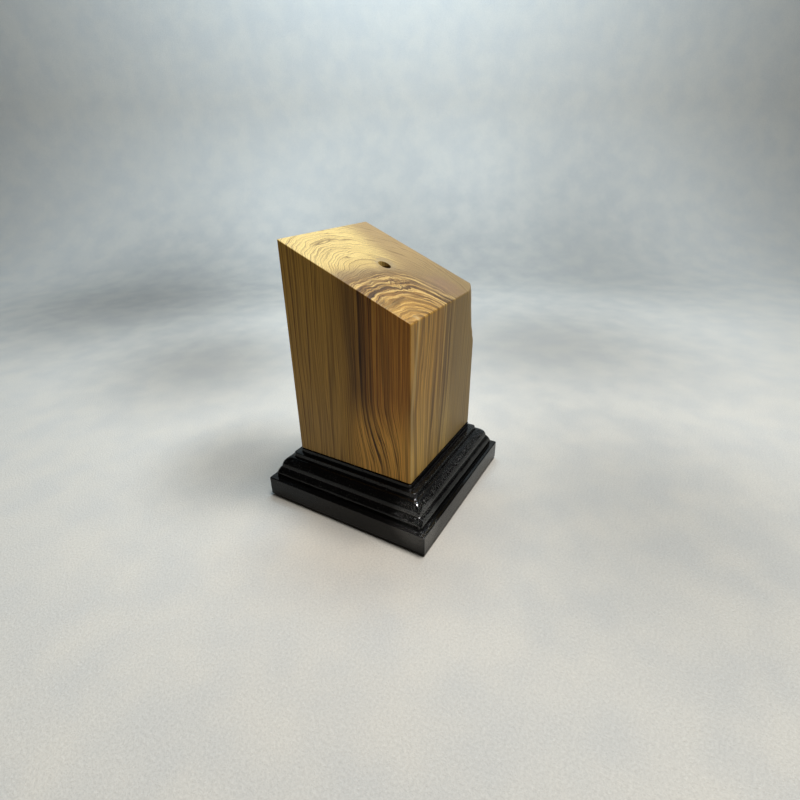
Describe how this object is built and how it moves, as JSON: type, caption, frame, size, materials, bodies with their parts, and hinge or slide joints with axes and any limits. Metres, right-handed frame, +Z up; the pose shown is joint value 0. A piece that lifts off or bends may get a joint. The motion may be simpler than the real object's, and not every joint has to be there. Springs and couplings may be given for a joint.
{
  "type": "wooden display pedestal",
  "caption": "Small square olive-wood pedestal with a sloping top, a blind rod hole and a natural rounded corner, screwed to a moulded black wooden base.",
  "frame": {"origin": "centre of the footprint, on the surface that the felt pad rests on", "axes": "+Z up; -Y towards the low side of the sloping top; +X to the right seen from the low side, which is the side of the rounded corner"},
  "size_m": [0.085, 0.085, 0.121],
  "materials": {
    "olive_wood": "sanded olive wood with a thin satin oil finish, growth rings on the top and straight streaked grain down the sides",
    "black_lacquer": "slightly open-grained wood under gloss black lacquer",
    "screw_steel": "bright zinc-plated steel",
    "felt": "pressed black felt"
  },
  "bodies": {
    "root": {"olive_block": "olive_wood", "moulded_base": "black_lacquer", "base_screw_left": "screw_steel", "base_screw_right": "screw_steel", "felt_pad": "felt"}
  },
  "joints": []
}
